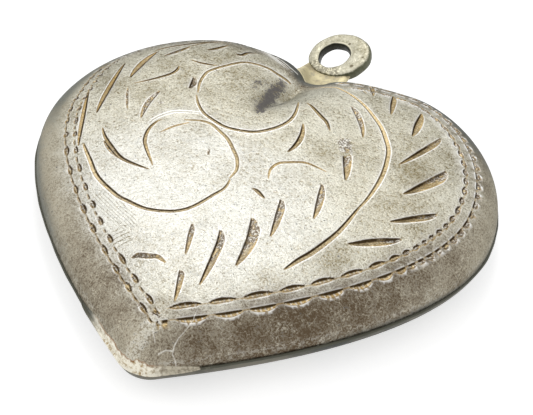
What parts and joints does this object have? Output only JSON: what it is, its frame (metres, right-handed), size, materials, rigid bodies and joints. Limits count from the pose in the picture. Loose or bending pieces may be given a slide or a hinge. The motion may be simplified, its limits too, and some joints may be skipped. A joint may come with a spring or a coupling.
{
  "type": "heart pendant",
  "caption": "Puffed heart pendant of two domed silver shells soldered rim to rim, with a small closed ring in the cleft to hang it by.",
  "frame": {"origin": "middle of the bounding box in X and Y, on the surface that the pendant lies on", "axes": "+X across the heart to its right lobe, +Y from the point to the hanging ring, +Z out of the engraved front"},
  "size_m": [0.0324, 0.0386, 0.0054],
  "materials": {
    "face_silver": "worn engraved silver, softly brushed, grey tarnish on the side wall",
    "back_silver": "plain silver, dark tarnish",
    "solder": "pale yellowish silver solder, matt",
    "ring_silver": "worn silver, satin"
  },
  "bodies": {
    "root": {"front_shell": "face_silver", "back_shell": "back_silver", "seam_solder": "solder", "ring_solder": "solder", "hanging_ring": "ring_silver"}
  },
  "joints": []
}
